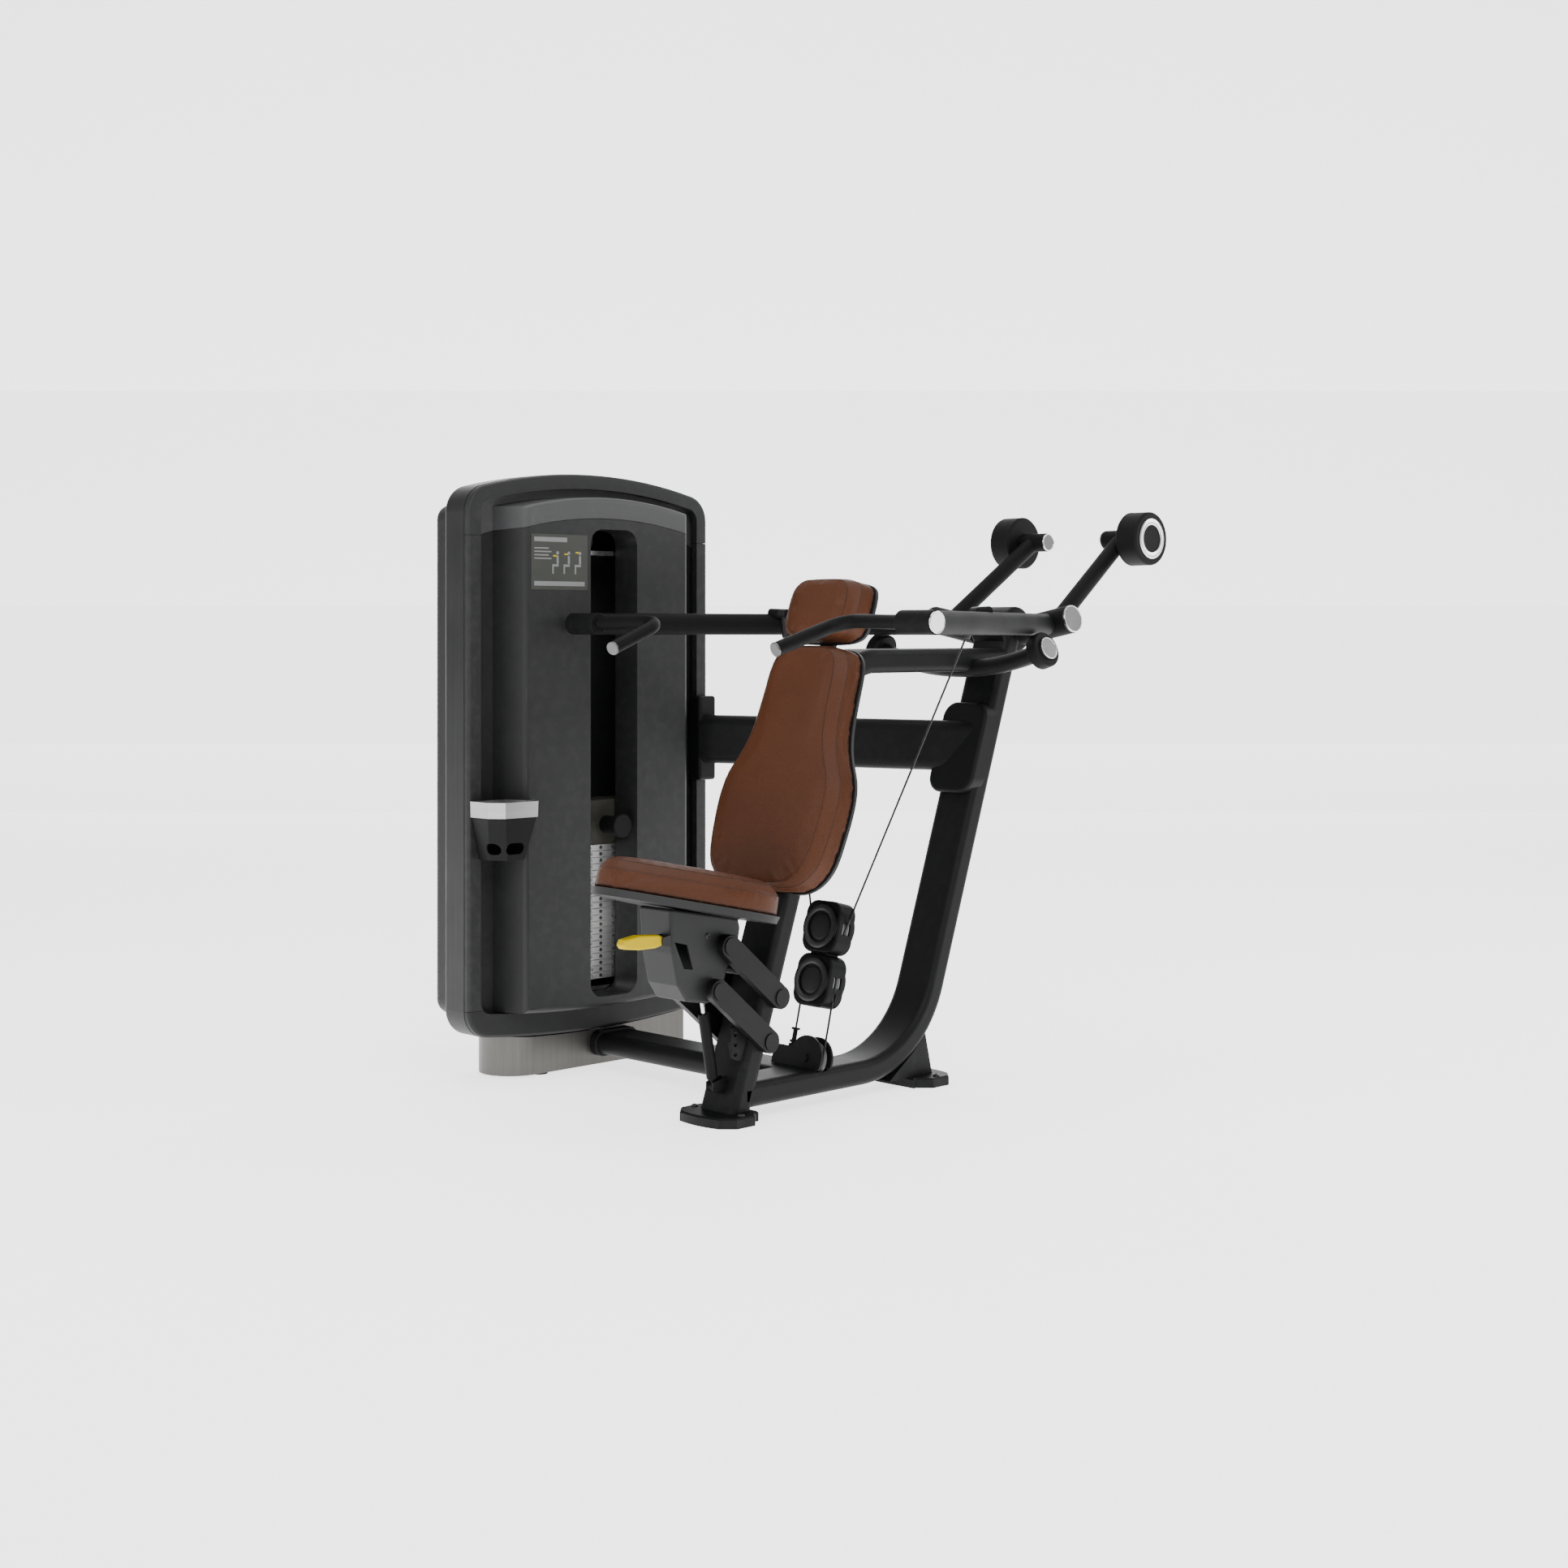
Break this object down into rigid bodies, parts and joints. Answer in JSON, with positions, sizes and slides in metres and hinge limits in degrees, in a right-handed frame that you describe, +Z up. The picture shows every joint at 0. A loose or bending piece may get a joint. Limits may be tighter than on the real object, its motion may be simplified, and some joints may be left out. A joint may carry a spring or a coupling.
{
  "type": "shoulder press machine",
  "caption": "Selectorized shoulder press machine: leaning oval-tube frame, two pivoting press arms with counterweights, adjustable seat, back pad and a tall cabinet with the weight stack.",
  "frame": {"origin": "floor level, middle of the bounding box's footprint", "axes": "+Z up, the user faces -Y, the weight cabinet stands on the -X side"},
  "size_m": [1.572, 1.8454, 1.609],
  "materials": {
    "frame_black": "satin powder coat",
    "cap_silver": "satin with a bright rim",
    "rubber_black": "matt",
    "tower_silver": "satin",
    "tower_grey": "satin",
    "panel_grey": "satin",
    "placard_grey": "printed card",
    "pedestal_metal": "brushed",
    "stack_steel": "satin",
    "head_steel": "satin",
    "rod_chrome": "polished",
    "cable_black": "nylon coat",
    "wheel_grey": "moulded",
    "leather_brown": "grained upholstery",
    "board_black": "moulded",
    "casing_grey": "fine texture",
    "lever_yellow": "moulded",
    "tray_silver": "satin"
  },
  "bodies": {
    "frame": {"front_loop_tube": "frame_black", "rear_loop_tube": "frame_black", "foot_plates": "frame_black", "pivot_hub": "frame_black", "cross_rail": "frame_black", "upper_beam": "frame_black", "beam_saddle": "frame_black", "tower_bracket": "frame_black", "stop_bow": "frame_black", "stop_rings": "rubber_black", "stop_caps": "cap_silver", "floor_pulley_bracket": "frame_black", "cable_run": "cable_black", "tower_band": "tower_silver", "tower_rim": "tower_grey", "tower_kick": "tower_grey", "rear_cover": "tower_grey", "panel_header": "panel_grey", "front_panel": "panel_grey", "placard": "placard_grey", "pedestal": "pedestal_metal", "pedestal_feet": "rubber_black", "stack_frame": "rod_chrome", "weight_plates": "stack_steel", "stack_cable": "cable_black", "tray_ring": "tray_silver", "tray_cup": "casing_grey", "backrest_pad": "leather_brown", "headrest_pad": "leather_brown", "pad_boards": "board_black", "post_brackets": "frame_black"},
    "right_arm": {"arm_right": "frame_black", "caps_right": "cap_silver", "counterweight_right": "rubber_black", "grip_right": "rubber_black", "grip_cap_right": "cap_silver"},
    "right_cable_leg": {"cable_leg_right": "cable_black"},
    "left_arm": {"arm_left": "frame_black", "caps_left": "cap_silver", "counterweight_left": "rubber_black", "grip_left": "rubber_black", "grip_cap_left": "cap_silver"},
    "left_cable_leg": {"cable_leg_left": "cable_black"},
    "float": {"float_cowl": "frame_black", "float_cables": "cable_black"},
    "upper_float_wheel": {"float_pulley_upper": "wheel_grey"},
    "lower_float_wheel": {"float_pulley_lower": "wheel_grey"},
    "floor_wheel": {"floor_pulley": "wheel_grey"},
    "tower_top_wheel": {"tower_top_pulley": "wheel_grey"},
    "tower_low_wheel": {"tower_low_pulley": "wheel_grey"},
    "carriage": {"weight_carriage": "head_steel"},
    "pin": {"selector_pin": "rubber_black"},
    "upper_link": {"seat_link_upper": "frame_black"},
    "lower_link": {"seat_link_lower": "frame_black"},
    "seat": {"seat_carrier": "casing_grey", "seat_board": "board_black", "seat_pad": "leather_brown"},
    "lever": {"seat_lever": "lever_yellow"},
    "spring_cylinder": {"gas_cylinder": "frame_black"},
    "spring_rod": {"gas_rod": "rod_chrome"}
  },
  "joints": [
    {"name": "right_arm_press", "type": "hinge", "parent": "frame", "child": "right_arm", "pos_m": [0.387, 0.5072, 1.217], "axis": [-0.9816, 0, -0.1908], "range_deg": [0, 30]},
    {"name": "left_arm_press", "type": "hinge", "parent": "frame", "child": "left_arm", "pos_m": [-0.099, 0.5072, 1.217], "axis": [-0.9816, 0, 0.1908], "range_deg": [0, 30]},
    {"name": "float_rise", "type": "slide", "parent": "frame", "child": "float", "axis": [0, 0.2419, 0.9703], "range_m": [0, 0.243]},
    {"name": "stack_rise", "type": "slide", "parent": "frame", "child": "carriage", "axis": [0, 0, 1], "range_m": [0, 0.486], "deforming": ["stack_cable"]},
    {"name": "right_cable_swing", "type": "hinge", "parent": "right_arm", "child": "right_cable_leg", "pos_m": [0.484, 0.0052, 1.232], "axis": [0.9924, -0.1195, 0.03], "range_deg": [0, 29]},
    {"name": "left_cable_swing", "type": "hinge", "parent": "left_arm", "child": "left_cable_leg", "pos_m": [-0.196, 0.0052, 1.232], "axis": [0.9924, 0.1195, -0.03], "range_deg": [0, 29]},
    {"name": "upper_float_wheel_spin", "type": "hinge", "parent": "float", "child": "upper_float_wheel", "pos_m": [0.144, -0.1704, 0.432], "axis": [0, 0.9703, -0.2419], "continuous": true},
    {"name": "lower_float_wheel_spin", "type": "hinge", "parent": "float", "child": "lower_float_wheel", "pos_m": [0.144, -0.20306, 0.30101], "axis": [0, 0.9703, -0.2419], "range_deg": [-260, 0]},
    {"name": "floor_wheel_spin", "type": "hinge", "parent": "frame", "child": "floor_wheel", "pos_m": [0.158, -0.2502, 0.112], "axis": [0, 0.9703, -0.2419], "range_deg": [-690, 0]},
    {"name": "tower_top_wheel_spin", "type": "hinge", "parent": "frame", "child": "tower_top_wheel", "pos_m": [-0.713, -0.2848, 1.44], "axis": [0, 1, 0], "range_deg": [-630, 0]},
    {"name": "tower_low_wheel_spin", "type": "hinge", "parent": "frame", "child": "tower_low_wheel", "pos_m": [-0.713, -0.2848, 0.11722], "axis": [0, 1, 0], "range_deg": [-630, 0]},
    {"name": "pin_pull", "type": "slide", "parent": "carriage", "child": "pin", "axis": [1, 0, 0], "range_m": [0, 0.12]},
    {"name": "seat_height", "type": "hinge", "parent": "frame", "child": "upper_link", "pos_m": [0.144, -0.4218, 0.293], "axis": [-1, 0, 0], "range_deg": [-36, 12]},
    {"name": "lower_link_swing", "type": "hinge", "parent": "frame", "child": "lower_link", "pos_m": [0.144, -0.4578, 0.19], "axis": [-1, 0, 0], "range_deg": [-36, 12]},
    {"name": "seat_level", "type": "hinge", "parent": "upper_link", "child": "seat", "pos_m": [0.144, -0.5908, 0.434], "axis": [-1, 0, 0], "range_deg": [-12, 36]},
    {"name": "spring_swing", "type": "hinge", "parent": "frame", "child": "spring_cylinder", "pos_m": [0.144, -0.5698, 0.086], "axis": [-1, 0, 0], "range_deg": [-20, 7]},
    {"name": "spring_stroke", "type": "slide", "parent": "spring_cylinder", "child": "spring_rod", "axis": [0, -0.1783, 0.984], "range_m": [-0.1, 0.035]},
    {"name": "lever_pull", "type": "hinge", "parent": "seat", "child": "lever", "pos_m": [0.179, -0.7708, 0.46], "axis": [1, 0, 0], "range_deg": [0, 10], "stiffness_Nm_per_rad": 6}
  ],
  "couplings": [
    {"joint": "left_arm_press", "follows": "right_arm_press", "ratio": 1},
    {"joint": "float_rise", "follows": "right_arm_press", "m_per_rad": 0.459},
    {"joint": "stack_rise", "follows": "right_arm_press", "m_per_rad": 0.918},
    {"joint": "right_cable_swing", "follows": "right_arm_press", "ratio": 0.9589},
    {"joint": "left_cable_swing", "follows": "right_arm_press", "ratio": 0.9589},
    {"joint": "lower_float_wheel_spin", "follows": "right_arm_press", "ratio": -8.3455},
    {"joint": "floor_wheel_spin", "follows": "right_arm_press", "ratio": -22.39},
    {"joint": "tower_top_wheel_spin", "follows": "right_arm_press", "ratio": -20.4},
    {"joint": "tower_low_wheel_spin", "follows": "right_arm_press", "ratio": -20.4},
    {"joint": "lower_link_swing", "follows": "seat_height", "ratio": 1},
    {"joint": "seat_level", "follows": "seat_height", "ratio": -1},
    {"joint": "spring_swing", "follows": "seat_height", "ratio": 0.545},
    {"joint": "spring_stroke", "follows": "seat_height", "m_per_rad": 0.155}
  ]
}
